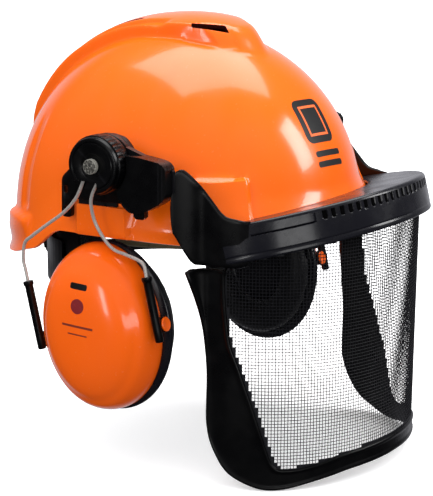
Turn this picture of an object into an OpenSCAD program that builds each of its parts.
// Forestry hard hat: moulded shell with suspension harness, two ear muffs on
// spring wires and a lifting mesh visor. Millimetres, +Z up, front towards -Y,
// wearer's left at +X. The origin is at the middle of the side rim level.

/* [Shell] */
// Half width of the shell at the rim, without the turned-out edge
shell_half_width = 107; // [105:0.5:109]
// Front half length of the shell
shell_front = 122.5; // [119:0.5:123]
// Rear half length of the shell
shell_rear = 122; // [120:0.5:124]
// Crown height above the side rim
shell_height = 133; // [130:0.5:136]
// Wall thickness
wall = 3; // [2.5:0.1:3.5]
// Height of the ventilated centre ridge
ridge_height = 8; // [6:0.5:9]
// Facets around the shell
facets_around = 60; // [48:12:72]
// Facets from rim to crown
facets_up = 15; // [12:1:18]

/* [Side mount] */
// Front-back place of the visor and muff pivot
pivot_y = -10; // [-11:0.5:-9]
// Height of the visor and muff pivot
pivot_z = 54.7; // [54:0.1:55.5]
// Spigot radius
spigot_radius = 5; // [4.5:0.1:5.2]
// Radial running clearance on the spigot and the small pins
clearance = 0.06; // [0.04:0.01:0.08]

/* [Ear muff] */
// Half width of the ear cup, front to back
cup_half_width = 43.4; // [42:0.2:43.6]
// Half height of the ear cup
cup_half_height = 57; // [55:0.5:57]
// Depth of the ear cup
cup_depth = 32; // [29:0.5:33]
// Forward lean of the cup
cup_lean = 6; // [4:0.5:8]
// Forward lean of the wire guides
wire_lean = 13.2; // [13:0.1:13.4]
// Spring wire radius
wire_radius = 1.4; // [1.3:0.05:1.4]
// Outer radius of a wire guide sleeve
sleeve_radius = 2.9; // [2.7:0.1:3]

/* [Visor] */
// Half width of the visor carrier
carrier_half_width = 106.5; // [106:0.5:107]
// Forward reach of the carrier ahead of its side line
carrier_reach = 90; // [89.5:0.5:91]
// Height of the carrier band
carrier_height = 24.5; // [22:0.5:26]
// Upward tilt of the carrier
carrier_tilt = 14; // [13:0.5:14.5]
// Half width of the screen at rim level
screen_half_width = 102.2; // [101.5:0.1:102.5]
// Forward reach of the screen ahead of its side line
screen_reach = 83.2; // [82.5:0.1:83.5]

/* [Harness] */
// Half width of the headband
band_half_width = 80; // [78:0.5:81]
// Front reach of the headband from its rear arc centre
band_reach = 116; // [112:1:117]
// Width of the crown webbing
web_width = 20; // [16:1:22]

/* [Hidden] */
$fn = 48;
orange = [0.95, 0.38, 0.06];
black = [0.07, 0.07, 0.08];
seal_black = [0.12, 0.12, 0.12];
dark_grey = [0.2, 0.2, 0.2];
foam_grey = [0.3, 0.3, 0.32];
steel = [0.75, 0.75, 0.73];
beige = [0.72, 0.66, 0.52];
cream = [0.62, 0.6, 0.55];
// signs along X and along Y
right = -1;
left = 1;
front = -1;
rear = 1;

// ---------------------------------------------------------------- helpers
function signed_pow(x, power) = sign(x) * pow(abs(x), power);
function clamp01(t) = min(1, max(0, t));
// smooth step from 0 at x = start to 1 at x = end
function ease(start, end, x) = let (t = clamp01((x - start) / (end - start))) t * t * (3 - 2 * t);
function reversed(list) = [for (i = [len(list) - 1:-1:0]) list[i]];

// Triangles between two closed rows of n points, given the index each row starts at
function row_faces(lower, upper, n) = [for (i = [0:n - 1]) let (k = (i + 1) % n)
  each [[lower + i, upper + i, upper + k], [lower + i, upper + k, lower + k]]];
// Triangles from a closed row of n points to one apex
function fan_faces(row, apex, n) = [for (i = [0:n - 1]) [row + i, apex, row + (i + 1) % n]];
function flipped(faces) = [for (f = faces) [f[0], f[2], f[1]]];

// Elliptic arc about (0, centre_y), sweep degrees to each side of -Y
function arc(half_width, reach, centre_y, sweep, steps) =
  [for (i = [0:steps]) let (t = -sweep + 2 * sweep * i / steps)
    [half_width * sin(t), centre_y - reach * cos(t)]];
module strip(half_width, reach, thick, centre_y, sweep, steps) {
  polygon(concat(arc(half_width, reach, centre_y, sweep, steps),
    reversed(arc(half_width - thick, reach - thick, centre_y, sweep, steps))));
}

// Pieces are drawn on the left; the right ones are mirrored
module side(s) {
  if (s < 0) mirror([1, 0, 0]) children();
  else children();
}
// a flat outline in the Y-Z plane, thick along X
module yz_plate(x0, x1) {
  translate([x0, 0, 0]) rotate([90, 0, 90]) linear_extrude(x1 - x0, convexity = 6) children();
}
module x_disc(x0, x1, radius, y = pivot_y, z = pivot_z) {
  translate([x0, y, z]) rotate([0, 90, 0]) cylinder(h = x1 - x0, r = radius);
}
module rod(start, end, radius) {
  run = end - start;
  length = norm(run);
  translate(start) rotate([0, acos(run[2] / length), atan2(run[1], run[0])])
    cylinder(h = length, r = radius, $fn = 20);
}
// rods end to end, with slightly larger balls at the bends
module chain(points, radius) {
  for (i = [0:len(points) - 2]) rod(points[i], points[i + 1], radius);
  for (i = [1:len(points) - 2]) translate(points[i]) sphere(radius + 0.08, $fn = 16);
}

// ---------------------------------------------------------------- shell
// u is the angle around the shell, 0 at the front and 90 at +X;
// v runs from 0 at the rim to 1 at the crown.
function from_front(u) = abs(((u + 180) % 360) - 180);
function rim_z(u) =
  2 - 18 * ease(100, 150, from_front(u)) - 9 * (1 - ease(25, 75, from_front(u)));
function rim_flare(u) =
  4 + 2 * ease(120, 165, from_front(u)) + 10 * (1 - ease(20, 60, from_front(u)));
// how far the skirt behind the ears hangs below the rim curve
function skirt_drop(u) =
  12 * ease(103, 118, from_front(u)) - 3 * ease(120, 150, from_front(u));
// raised pocket over a strap anchor, 0 to 1
function pocket(u, v, centre, half_angle, v0, v1) =
  (1 - ease(half_angle, half_angle + 5, abs(from_front(u) - centre)))
  * ease(v0 - 0.03, v0 + 0.02, v) * (1 - ease(v1 - 0.02, v1 + 0.05, v));
// lift of the centre ridge, which starts in a curved front edge
function ridge_lift(x, y, z) =
  let (edge_y = -64 + 0.025 * x * x)
  (ridge_height + 2.6 * ease(15, -30, y)) * (1 - ease(26, 35, abs(x)))
  * ease(edge_y, edge_y + 24, y) * (y > 0 ? ease(30, 75, z) : 1);

function shell_point(u, v, inset) =
  let (ex = signed_pow(sin(u), 0.88),
       ey = -signed_pow(cos(u), 0.88),
       half_x = shell_half_width - inset,
       half_y = (cos(u) > 0 ? shell_front : shell_rear) - inset,
       top = shell_height - inset,
       spread = pow(max(0, cos(90 * v)), 1.05),
       rise = pow(max(0, sin(90 * v)), 0.87),
       rim = rim_z(u),
       z = rim + (top - rim) * rise - skirt_drop(u) * pow(clamp01(1 - v / 0.17), 1.5),
       // outward direction in plan, and the push along it
       plan = [ex * half_y, ey * half_x],
       outward = plan / (norm(plan) + 1e-9),
       flare_v = 0.13 - 0.07 * ease(100, 130, from_front(u)),
       pockets = inset > 0 ? 0
         : 4 * pocket(u, v, 47, 8, 0.08, 0.19) + 5 * pocket(u, v, 137, 10, -0.1, 0.1),
       push = rim_flare(u) * pow(clamp01(1 - v / flare_v), 2) + pockets,
       x = half_x * ex * spread + outward[0] * push,
       y = half_y * ey * spread + 0.03 * z + outward[1] * push,
       // surface normal of the matching ellipsoid
       normal = [x / pow(half_x, 2), (y - 0.03 * z) / pow(half_y, 2), z / pow(top, 2)])
  [x, y, z] + ridge_lift(x, y, z) * normal / (norm(normal) + 1e-9);

function skin_points(inset) = concat(
  [for (i = [0:facets_up - 1], j = [0:facets_around - 1])
    shell_point(j * 360 / facets_around, pow(i / facets_up, 1.15), inset)],
  [shell_point(0, 1, inset)]);

module shell_body() {
  n = facets_around;
  count = n * facets_up + 1;
  outer_faces = concat(
    [for (i = [0:facets_up - 2]) each row_faces(i * n, (i + 1) * n, n)],
    fan_faces((facets_up - 1) * n, count - 1, n));
  inner_faces = [for (f = flipped(outer_faces)) f + [count, count, count]];
  rim_faces = flipped(row_faces(0, count, n));
  polyhedron(concat(skin_points(0), skin_points(wall)),
    concat(outer_faces, inner_faces, rim_faces), convexity = 6);
}
module mount_boss() hull() {
  translate([101, -22, 4]) cube([10.8, 42.5, 18]);
  translate([101, -19, 3]) cube([12.8, 36.5, 20.5]);
  translate([101, -17, 3]) cube([12.8, 33.5, 23.3]);
}

// bracket tongue, and the pocket it drops into
tongue_at = [110.3, -14, 10];
tongue_size = [2, 31.6, 20];
// slanted vent in the front of the ridge, [x, y]
vent_outline = [[28.6, -19.4], [13.5, -38.4], [17.4, -44.2], [31, -23.4]];

// resize([0, 0, 0]), here and below, leaves every size unchanged
module helmet_shell() color(orange) resize([0, 0, 0]) difference() {
  union() {
    shell_body();
    for (s = [right, left]) side(s) mount_boss();
  }
  for (s = [right, left]) side(s)
    translate(tongue_at - [0.2, 0.4, 0.4]) cube(tongue_size + [0.4, 0.8, 10]);
  // ridge vents on each side: a slanted slot in front, a long one behind
  for (s = [right, left]) side(s) {
    translate([0, 0, 100]) linear_extrude(60) polygon(vent_outline);
    translate([27, 30, 122]) rotate([0, 40, -8]) cube([12, 26, 5], center = true);
  }
}

// ---------------------------------------------------------------- side mount
// layers along the pivot, from the shell outwards
bracket_x = [110, 114.6];
arm_x = [115, 119.5];
washer_x = [119.7, 120.1];
turret_x = 120.2;
spigot_tip_x = 136.2;
// half width of the two short slots behind the bracket tongue, and their centre
slot_half = 1.3;
slot_y = 25.2;
// [y, z]
bracket_outline = [[28.9, 16], [27.4, 14.3], [22.6, 14.3], [21.4, 15.6], [21.2, 27.2],
  [-19, 27.2], [-24, 31], [-27, 38], [-28, 50], [-26.5, 64], [-20, 71], [-10, 73],
  [0, 71], [8, 65], [14, 56], [20, 49], [28.4, 41]];

module side_bracket(s) color(black) side(s) difference() {
  union() {
    yz_plate(bracket_x[0], bracket_x[1]) polygon(bracket_outline);
    translate(tongue_at) cube(tongue_size);
    x_disc(114, spigot_tip_x, spigot_radius);
  }
  for (z = [19.5, 33]) {
    for (dz = [-slot_half, slot_half]) x_disc(109, 115, slot_half, slot_y, z + dz);
    translate([109, slot_y - slot_half, z - slot_half]) cube([6, 2 * slot_half, 2 * slot_half]);
  }
  // screw hole
  x_disc(120, 137, 2.05);
}
module friction_washers() color(cream) for (s = [right, left]) side(s) difference() {
  x_disc(washer_x[0], washer_x[1], 12);
  x_disc(119, 121, spigot_radius + 0.3);
}
module pivot_screws() color(steel) for (s = [right, left]) side(s) difference() {
  union() {
    x_disc(121, 136.3, 2);
    x_disc(136.25, 137.9, 4);
  }
  translate([137.2, pivot_y - 3.4, pivot_z - 0.5]) cube([2, 6.8, 1]);
}
module pivot_cap(s) color(cream) side(s) difference() {
  union() {
    x_disc(spigot_tip_x, 138.9, 5.6);
    x_disc(138.8, 139.5, 4.4);
  }
  x_disc(136, 138.1, 4.2);
}

// ---------------------------------------------------------------- muff turret and wires
// straight cross-bar of the spring wire, held in the turret
bar_x = 129;
bar_y = [-20, 7];
bar_z = 47;

module turret(s) color(black) side(s) difference() {
  union() {
    x_disc(turret_x, 134, 19.5);
    x_disc(133.9, 136, 18.2);
  }
  x_disc(119, 137, spigot_radius + clearance);
  // spring chamber, open through the outer face in its lower part
  translate([126.2, -13.5, 30]) cube([8.2, 19, 19.2]);
  translate([126.2, -13.5, 30]) cube([12, 19, 14.6]);
  translate([bar_x, bar_y[0] - 0.2, bar_z]) rotate([-90, 0, 0])
    cylinder(h = bar_y[1] - bar_y[0] + 0.3, r = wire_radius + clearance);
}
module turret_spring(s) color(steel) side(s) translate([126.3, -12.4, 37.5]) cube([0.8, 15, 8]);

// The two wire guides stand in front of and behind the cup, leaning forwards
cup_pivot = [112, -4.2, -60.5];
guide_x = 119.2;
rearward = [0, cos(wire_lean), -sin(wire_lean)];
downward = [0, -sin(wire_lean), -cos(wire_lean)];
function guide_offset(end) = end == front ? 44.5 : 50.2;
// point on a guide's centre line, drop below cup pivot level
function guide(end, drop) =
  [guide_x, cup_pivot[1], cup_pivot[2]] + end * guide_offset(end) * rearward + drop * downward;
module guide_frame() translate(cup_pivot) rotate([-wire_lean, 0, 0]) children();

// bend points from the turret down to the guide
rear_wire = [[bar_x, 1, bar_z], [129.8, 1, 42.5], [127.5, 8.3, 30.8], [125.2, 19.5, 20],
  [122.8, 36.7, 8.3], [121.2, 48, 0.4], [guide_x, 56, -6], guide(rear, -56), guide(rear, -1)];
front_wire = [[bar_x, -9.9, bar_z], [129.8, -9.9, 42.9], [128.2, -4.7, 34.2],
  [126.7, -2.8, 27.1], [124.3, -4.1, 15.6], [122, -10, 3.9], [guide_x, -15.3, -2.6],
  [guide_x, -24.2, -4.9], [guide_x, -34, -7.6], guide(front, -41), guide(front, 7)];

module spring_wire(s) color(steel) side(s) resize([0, 0, 0]) union() {
  rod([bar_x, bar_y[0], bar_z], [bar_x, bar_y[1], bar_z], wire_radius);
  chain(rear_wire, wire_radius);
  chain(front_wire, wire_radius);
}

stud_radius = 3;
lug_thick = 3.6;
module wire_sleeve(s, end) color(black) side(s) {
  top = end == front ? -33 : -41;
  bottom = end == front ? 10.4 : 6;
  lug_y = end * guide_offset(end);
  difference() {
    union() {
      rod(guide(end, top), guide(end, bottom), sleeve_radius);
      // collar
      rod(guide(end, top - 0.01), guide(end, top + 2.5), sleeve_radius + 0.6);
      // eye lug that carries the cup
      guide_frame() {
        translate([0, lug_y, 0]) rotate([90, 0, 0])
          cylinder(h = lug_thick, r = 5.3, center = true);
        translate([0, lug_y - lug_thick / 2, -5]) cube([guide_x - cup_pivot[0], lug_thick, 10]);
      }
    }
    guide_frame() translate([0, lug_y, 0]) rotate([90, 0, 0])
      cylinder(h = 9, r = stud_radius + clearance, center = true);
    rod(guide(end, top - 3), guide(end, bottom + 3), wire_radius + clearance);
  }
}

// ---------------------------------------------------------------- ear cup
// Profiles are [x, radius]; a radius of profile_radius is stretched to the cup outline
profile_radius = 50;
cup_centre = [0, -0.8, -58];
cup_mouth_x = 106.2;
oval_facets = 40;
// plate and cushion sit a little forward of the cup and are stretched front to back
ring_shift = [0, -1.5, 0];
ring_stretch_y = 1.05;
plate_profile = [[101.6, 24], [101.6, 50.5], [103, 52.2], [104.6, 52.2], [105.9, 51],
  [105.9, 24]];
cushion_profile = [[101.3, 24], [92, 24], [87, 26], [84.4, 30], [84, 36], [85.6, 42],
  [90, 46.5], [95, 48.5], [101.3, 49]];
foam_profile = [[107, 0], [107, 34], [110, 35], [118, 33], [124, 26], [126, 0]];

function oval(p, stretch_y = 1, stretch_z = 1) =
  [for (i = [0:oval_facets - 1]) let (a = i * 360 / oval_facets)
    [p[0], p[1] * stretch_y * cup_half_width / profile_radius * cos(a),
      p[1] * stretch_z * cup_half_height / profile_radius * sin(a)]];
module cup_frame() translate(cup_centre) rotate([-cup_lean, 0, 0]) children();
// solid whose profile starts and ends on the cup axis
module oval_solid(profile) {
  rows = len(profile) - 2;
  n = oval_facets;
  points = concat([[profile[0][0], 0, 0]],
    [for (j = [1:rows]) each oval(profile[j])],
    [[profile[rows + 1][0], 0, 0]]);
  cup_frame() polyhedron(points, concat(
    flipped(fan_faces(1, 0, n)),
    [for (j = [0:rows - 2]) each row_faces(1 + j * n, 1 + (j + 1) * n, n)],
    fan_faces(1 + (rows - 1) * n, 1 + rows * n, n)));
}
// ring whose closed profile stays off the cup axis
module oval_ring(profile, stretch_z) {
  rows = len(profile);
  n = oval_facets;
  translate(ring_shift) cup_frame() polyhedron(
    [for (p = profile) each oval(p, ring_stretch_y, stretch_z)],
    [for (j = [0:rows - 1]) each row_faces(j * n, ((j + 1) % rows) * n, n)]);
}
// rounded profile from the mouth out to the cup axis
function dome(depth, radius, angles) = concat(
  [for (a = angles) [cup_mouth_x + depth * pow(sin(a), 0.9), radius * pow(cos(a), 0.62)]],
  [[cup_mouth_x + depth, 0]]);
// frame on the stud axis with +Z pointing out to a guide
module stud_frame(end) guide_frame() rotate([-90 * end, 0, 0]) children();

module cup_shell(s) color(orange) side(s) resize([0, 0, 0]) difference() {
  union() {
    difference() {
      oval_solid(concat([[cup_mouth_x, 0]], dome(cup_depth, profile_radius, [0:10.5:84])));
      oval_solid(concat([[105, 0], [105, 47]], dome(cup_depth - 2.5, 47, [16:16:80])));
    }
    for (end = [front, rear]) stud_frame(end)
      translate([0, 0, guide_offset(end) - 9]) cylinder(h = 6.9, r = 5.2);
  }
  for (end = [front, rear]) stud_frame(end)
    translate([0, 0, guide_offset(end) - 12]) cylinder(h = 14, r = stud_radius + 0.05);
}
module cup_studs(s) color(orange) side(s) for (end = [front, rear])
  stud_frame(end) translate([0, 0, guide_offset(end)]) {
    translate([0, 0, -8.6]) cylinder(h = 10.9, r = stud_radius);
    translate([0, 0, 2]) cylinder(h = 1.6, r = 4.8);
  }
module cup_plate(s) color(black) side(s) oval_ring(plate_profile, 0.975);
module ear_cushion(s) color(black) side(s) oval_ring(cushion_profile, 0.95);
module cup_foam(s) color(foam_grey) side(s) oval_solid(foam_profile);

// ---------------------------------------------------------------- visor arms
// outlines, [y, z]
arm_web_outline = [[-14, 36], [-40, 36], [-40, 61], [-14, 70]];
arm_head_outline = [[-24, 62], [-39, 61.4], [-52, 59.6], [-56.1, 58.4], [-59.2, 55.5],
  [-59.2, 37.8], [-57, 34.6], [-53.6, 31.8], [-47, 28], [-42.3, 25.6], [-36, 24.6],
  [-32, 24.8], [-27, 28.4], [-24, 33], [-21, 41]];
release_outline = [[-42.2, 22.1], [-40.6, 20.6], [-35.4, 20.6], [-33.8, 22.1]];

module visor_arm(s) color(black) side(s) difference() {
  union() {
    x_disc(arm_x[0], arm_x[1], 19);
    yz_plate(arm_x[0], arm_x[1]) polygon(arm_web_outline);
    // thick head, cut back around the turret
    difference() {
      yz_plate(arm_x[0], 127) polygon(arm_head_outline);
      x_disc(119.4, 130, 20.4);
    }
  }
  x_disc(114, 121, spigot_radius + clearance);
  // slot for the carrier tongue
  translate([116.1, -61, 38.4]) cube([3.3, 21.5, 16]);
  // well for the release button
  translate([119.7, -42.4, 20]) cube([5.2, 8.8, 12.6]);
}
module arm_release(s) color(black) side(s) {
  translate([119.9, -42.2, 22]) cube([4.8, 8.4, 7.4]);
  yz_plate(120.3, 124.3) polygon(release_outline);
}

// ---------------------------------------------------------------- visor carrier
// The carrier is built flat and tilted about the side line
side_y = -85;
carrier_z = 4;
carrier_wall = 3;
bend_y = -77; // the side plates turn outwards behind this line
// outlines, [y, z]
side_plate_outline = [[-59.8, 54.2], [-63, 54], [-90, 23.8], [-104, 22.2], [-104, -6.6],
  [-99, -8.8], [-69.3, -9], [-64.1, -1], [-58.6, 13.4], [-57.6, 29], [-59.8, 36]];
carrier_tongue_outline = [[-41, 38.8], [-41, 53.8], [-62, 53.8], [-62, 38.8]];

module carrier_frame() translate([0, side_y, carrier_z]) rotate([-carrier_tilt, 0, 0]) children();
// plan of the shell front just above the rim, grown by gap and closed behind
module shell_plan(gap) polygon(concat(
  [for (i = [0:48]) let (p = shell_point(-90 + i * 180 / 48, 0.115, 0), r = norm([p[0], p[1]]))
    [p[0] * (r + gap) / r, p[1] * (r + gap) / r]],
  [[160, 40], [-160, 40]]));
// filled half oval, set in from the carrier's outside
module carrier_plan(inset) polygon(
  arc(carrier_half_width - inset, carrier_reach - inset, 0, 90, 48));

// plan curve of the side plates: straight past the screen, then out to the arms
function plate_x(y) =
  y > bend_y ? carrier_half_width + 0.0346 * pow(y - bend_y, 2)
  : y > side_y ? carrier_half_width
  : carrier_half_width * sqrt(1 - pow((y - side_y) / 88, 2));
function plate_shift(y) = y > bend_y ? 0.07 * (y - bend_y) : 0;
plate_stations = [for (y = [-110:2:-56]) y];
module side_plate_plan() polygon(concat(
  [for (y = plate_stations) [plate_x(y), y]],
  reversed([for (y = plate_stations) [plate_x(y) - carrier_wall, y + plate_shift(y)]])));

module visor_carrier() color(black) {
  difference() {
    carrier_frame() union() {
      translate([0, 0, -carrier_height / 2]) linear_extrude(carrier_height)
        strip(carrier_half_width, carrier_reach, carrier_wall, 0, 90, 48);
      translate([0, 0, carrier_height / 2 - 2.5]) linear_extrude(2.5) carrier_plan(1);
    }
    translate([0, 0, -40]) linear_extrude(120) shell_plan(6);
    translate([-130, side_y - 4, -40]) cube([260, 100, 120]);
  }
  for (s = [right, left]) side(s) {
    intersection() {
      translate([0, 0, -20]) linear_extrude(90) side_plate_plan();
      yz_plate(90, 130) polygon(side_plate_outline);
    }
    yz_plate(116.3, 119.1) polygon(carrier_tongue_outline);
  }
}
module peak_seal() color(seal_black) intersection() {
  carrier_frame() translate([0, 0, carrier_height / 2 - 2.2]) linear_extrude(1.8)
    carrier_plan(3.5);
  translate([-58, -140, -20]) linear_extrude(80) square([116, 80]);
  translate([0, 0, -20]) linear_extrude(80) difference() {
    shell_plan(5.8);
    shell_plan(2.6);
  }
}

// ---------------------------------------------------------------- screen
screen_top = 27;
screen_height = 190;
// side outlines, [y, z]
frame_outline = [[-66.1, -11.6], [-70, -33.6], [-72.2, -48], [-73.5, -62], [-74.6, -83.4],
  [-74, -112.2], [-76, -126.8], [-84.6, -143], [-90, -148.4], [-97, -152.4],
  [-111, -157.6], [-118, -158.4], [-125.2, -157.8], [-139.2, -154.2], [-156.3, -149.6],
  [-180, -146.8], [-180, 26.4], [-161, 21], [-100, 4.5], [-91, 1], [-88, -11.6]];
window_outline = [[-88, -11.6], [-88.4, -30], [-89.5, -45], [-91.6, -60], [-97.5, -74.5],
  [-106.9, -101], [-114, -124.5], [-117.6, -136.5], [-119.4, -141.2], [-123, -144],
  [-134.3, -143.6], [-145, -140.9], [-155.1, -137.6], [-180, -133.5], [-180, 16.4],
  [-161, 11.5], [-97, -5.2]];
mesh_outline = [[-84, -9], [-84.4, -30], [-85.5, -47], [-87.6, -61], [-93.5, -76],
  [-102.9, -102.5], [-109, -124], [-113, -138], [-116, -145], [-122, -148],
  [-135.3, -147.6], [-146.5, -144.9], [-157, -141.6], [-182, -137.5], [-182, 20.4],
  [-161, 15.5], [-96, -1.6]];

function screen_reach_at(z) = screen_reach + z / 50;
// left rear edge of the screen, a parabola curling outwards
function curl(inset) =
  [for (y = [10:1.5:20.5]) let (run = y - 9.5, slope = 0.28 * run, n = sqrt(1 + slope * slope))
    [screen_half_width + 0.14 * run * run - inset / n, y + inset * slope / n]];
// filled half oval, tapering downwards, with the curled rear edges
module screen_body(inset) {
  top_reach = screen_reach_at(screen_top) - inset;
  bottom_reach = screen_reach_at(screen_top - screen_height) - inset;
  translate([0, side_y, screen_top]) mirror([0, 0, 1])
    linear_extrude(screen_height, slices = 1, scale = [1, bottom_reach / top_reach])
      polygon(concat(arc(screen_half_width - inset, top_reach, 0, 90, 40), curl(inset),
        [for (p = reversed(curl(inset))) [-p[0], p[1]]]));
}
module screen_wall(outer, inner) difference() {
  screen_body(outer);
  screen_body(inner);
}
module screen_frame() color(black) difference() {
  intersection() {
    screen_wall(0, 3);
    yz_plate(-130, 130) polygon(frame_outline);
  }
  yz_plate(-130, 130) polygon(window_outline);
}
module screen_mesh() color(dark_grey) intersection() {
  screen_wall(3.1, 3.9);
  yz_plate(-130, 130) polygon(mesh_outline);
}
// plugs between the screen's top rail and the inside of the carrier band
module screen_clips() color(black) for (t = [-60, -30, 0, 30, 60]) {
  band_width = carrier_half_width - carrier_wall;
  band_front = carrier_reach - carrier_wall;
  z = carrier_z - 6 + band_front * sin(carrier_tilt) * cos(t);
  reach = screen_reach_at(z);
  gradient = [sin(t) / screen_half_width, -cos(t) / reach];
  n = gradient / norm(gradient);
  foot = [screen_half_width * sin(t), side_y - reach * cos(t)];
  // distance from the screen to the inside of the band along n
  gap = norm([band_width * n[0], band_front * cos(carrier_tilt) * n[1]]) - 1.45 * n[1]
    - norm([screen_half_width * n[0], reach * n[1]]);
  start = foot + 0.3 * n;
  end = foot + (gap - 0.75) * n;
  rod([start[0], start[1], z], [end[0], end[1], z], 1.8);
}

// ---------------------------------------------------------------- headband
band_centre_y = 22; // centre of the rear arc
band_wall = 2;
// sector of a ring about the rear arc centre, angles from +X towards the rear
module ring(r0, r1, z0, z1, a0, a1) {
  translate([0, band_centre_y, z0]) rotate([0, 0, a0])
    rotate_extrude(angle = a1 - a0, $fn = 96) translate([r0, 0]) square([r1 - r0, z1 - z0]);
}
// strip following the front of the headband, grown outwards by grow
module band_strip(z, height, grow, thick, sweep, steps) {
  translate([0, 0, z]) linear_extrude(height)
    strip(band_half_width + grow, band_reach + grow, thick, band_centre_y, sweep, steps);
}
module headband() color(black) resize([0, 0, 0]) difference() {
  band_inner = band_half_width - band_wall;
  union() {
    band_strip(2, 18, 0, band_wall, 90, 60);
    for (a = [0, 165]) ring(band_inner, band_half_width, 2, 20, a, a + 15);
    // drops to the nape, and the low arms that hold the tails
    for (a = [14, 146]) ring(band_inner, band_half_width, -46.5, 20, a, a + 20);
    for (a = [26, 124]) ring(76.6, 81.6, -46.5, -13.5, a, a + 30);
  }
  // tail slots, low on the left and high on the right
  ring(77.9, 80.3, -44.6, -35.1, 24, 57);
  ring(77.9, 80.3, -24.9, -15.4, 123, 156);
}
module sweatband() color(beige) {
  band_strip(1, 18, -2.2, 3.4, 84, 50);
  band_strip(-10, 11.8, 1.4, 7, 84, 50);
}

// ---------------------------------------------------------------- crown webbing
web_centre_y = 5;
web_angle = 52;
web_half_span = 99;
web_foot_z = 4;
web_thick = 1.5;
function arch(half_span, top) = [for (i = [0:36]) let (t = 180 * i / 36)
  [half_span * cos(t), web_foot_z + (top - web_foot_z) * pow(sin(t), 0.9)]];
// an arch in a vertical plane through the harness centre
module web(angle, top) translate([0, web_centre_y, 0]) rotate([0, 0, angle]) rotate([90, 0, 0])
  translate([0, 0, -web_width / 2]) linear_extrude(web_width)
    polygon(concat(arch(web_half_span, top),
      reversed(arch(web_half_span - web_thick, top - web_thick))));
module crown_strap_a() color(black) web(web_angle, 108);
module crown_strap_b() color(black) web(-web_angle, 105.8);
module crown_pad() color(dark_grey) translate([0, web_centre_y, 96.4]) difference() {
  cylinder(h = 3.8, r = 27);
  for (a = [45:90:315]) rotate([0, 0, a]) translate([24, 0, -1]) cylinder(h = 8, r = 5);
}
module strap_anchors() color(black)
  for (a = [web_angle, 180 - web_angle, 180 + web_angle, -web_angle])
    translate([0, web_centre_y, 0]) rotate([0, 0, a]) difference() {
      union() {
        translate([web_half_span - 6, -web_width / 2 - 3, 1]) cube([10, web_width + 6, 18]);
        // outward lug, longer on the front pair
        translate([web_half_span + 3, -7, 3]) cube([sin(a) < 0 ? 14 : 6, 14, 12]);
      }
      translate([web_half_span - 3.9, -web_width / 2 - 0.3, 0]) cube([4.3, web_width + 0.6, 40]);
    }

// ---------------------------------------------------------------- nape ratchet
knob_z = -30;
shaft_radius = 3;
gear_radius = 6;
gear_teeth = 12;
tooth_pitch = 2 * PI * gear_radius / gear_teeth;
tail_inner = 78.2;
tail_outer = 80;
tail_thick = tail_outer - tail_inner;

// frame on the knob axis with +Z pointing rearwards
module knob_axis(y) translate([0, y, knob_z]) rotate([-90, 0, 0]) children();
// ring sector centred on the knob
module nape_arc(r0, r1, half_height, half_angle) {
  ring(r0, r1, knob_z - half_height, knob_z + half_height, 90 - half_angle, 90 + half_angle);
}
module nape_housing() color(black) difference() {
  nape_arc(77.7, 86, 18, 17);
  nape_arc(77.7, 80.4, 14.9, 20);
  knob_axis(101) cylinder(h = 12, r = shaft_radius + clearance);
}
module nape_cover() color(black) nape_arc(75, 77.5, 18, 17);
module nape_pad() color(dark_grey) nape_arc(70.6, 74.8, 17, 24);

// rack teeth numbered first to last; up = 1 when they point up, -1 when down
module rack(up, first, last) {
  step = tooth_pitch / band_half_width * 180 / PI;
  pitch_z = knob_z - up * gear_radius;
  root_z = pitch_z - up * 1.4;
  flank_z = pitch_z - up * 0.5;
  tip_z = pitch_z + up * 0.5;
  for (i = [first:last]) translate([0, band_centre_y, 0]) rotate([0, 0, i * step])
    translate([0, tail_outer, 0]) rotate([90, 0, 0]) linear_extrude(tail_thick)
      polygon([[-0.82, root_z], [-0.82, flank_z], [-0.33, tip_z],
        [0.33, tip_z], [0.82, flank_z], [0.82, root_z]]);
}
module band_tail_right() color(black) {
  ring(tail_inner, tail_outer, -23.1, -15.7, 81, 144);
  rack(-1, -3, 5);
}
module band_tail_left() color(black) {
  ring(tail_inner, tail_outer, -44.3, -36.9, 36, 99);
  rack(1, -5, 3);
}
module pinion_tooth() linear_extrude(1.8) polygon([
  [-0.95, gear_radius - 1.4], [-0.62, gear_radius], [-0.4, gear_radius + 0.5],
  [0.4, gear_radius + 0.5], [0.62, gear_radius], [0.95, gear_radius - 1.4]]);
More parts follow.
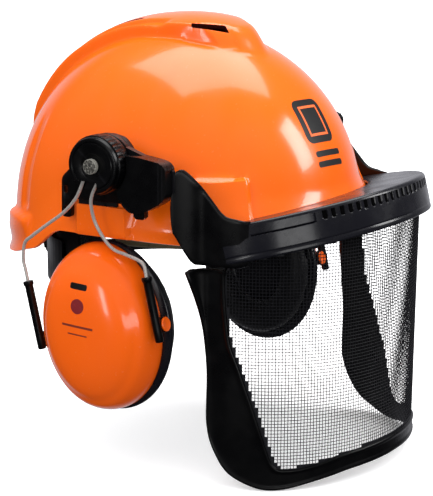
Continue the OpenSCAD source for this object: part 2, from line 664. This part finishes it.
module ratchet_pinion() color(black) difference() {
  union() {
    knob_axis(100) cylinder(h = 1.8, r = gear_radius - 0.75);
    for (i = [0:gear_teeth - 1]) translate([0, 101.8, knob_z])
      rotate([0, (i + 0.5) * 360 / gear_teeth, 0]) rotate([90, 0, 0]) pinion_tooth();
    knob_axis(101) cylinder(h = 12.6, r = shaft_radius);
  }
  // flat on the shaft end
  translate([-5, 109.6, knob_z + 1.8]) cube([10, 6, 4]);
}
module ratchet_knob() color(black) knob_axis(108.6) difference() {
  union() {
    cylinder(h = 9.5, r = 12.2);
    for (i = [0:17]) rotate([0, 0, i * 20]) translate([12.1, 0, 0])
      cylinder(h = 8.6, r = 0.9, $fn = 16);
  }
  // D-shaped socket for the shaft
  difference() {
    translate([0, 0, -1]) cylinder(h = 6.2, r = shaft_radius + 0.05);
    translate([-5, -11.85, 1.05]) cube([10, 10, 8]);
  }
}

helmet_shell();
side_bracket(right);  // side_bracket_right
side_bracket(left);  // side_bracket_left
friction_washers();
pivot_cap(right);  // pivot_cap_right
pivot_cap(left);  // pivot_cap_left
pivot_screws();
headband();
sweatband();
crown_strap_a();
crown_strap_b();
crown_pad();
strap_anchors();
nape_housing();
nape_cover();
nape_pad();
ratchet_knob();
ratchet_pinion();
band_tail_right();
band_tail_left();
turret(right);  // turret_right
turret(left);  // turret_left
turret_spring(right);  // turret_spring_right
turret_spring(left);  // turret_spring_left
spring_wire(right);  // spring_wire_right
spring_wire(left);  // spring_wire_left
wire_sleeve(right, front);  // wire_sleeve_front_right
wire_sleeve(right, rear);  // wire_sleeve_rear_right
wire_sleeve(left, front);  // wire_sleeve_front_left
wire_sleeve(left, rear);  // wire_sleeve_rear_left
cup_shell(right);  // cup_shell_right
cup_shell(left);  // cup_shell_left
cup_plate(right);  // cup_plate_right
cup_plate(left);  // cup_plate_left
ear_cushion(right);  // ear_cushion_right
ear_cushion(left);  // ear_cushion_left
cup_foam(right);  // cup_foam_right
cup_foam(left);  // cup_foam_left
cup_studs(right);  // cup_studs_right
cup_studs(left);  // cup_studs_left
visor_arm(right);  // visor_arm_right
visor_arm(left);  // visor_arm_left
arm_release(right);  // arm_release_right
arm_release(left);  // arm_release_left
visor_carrier();
peak_seal();
screen_frame();
screen_mesh();
screen_clips();
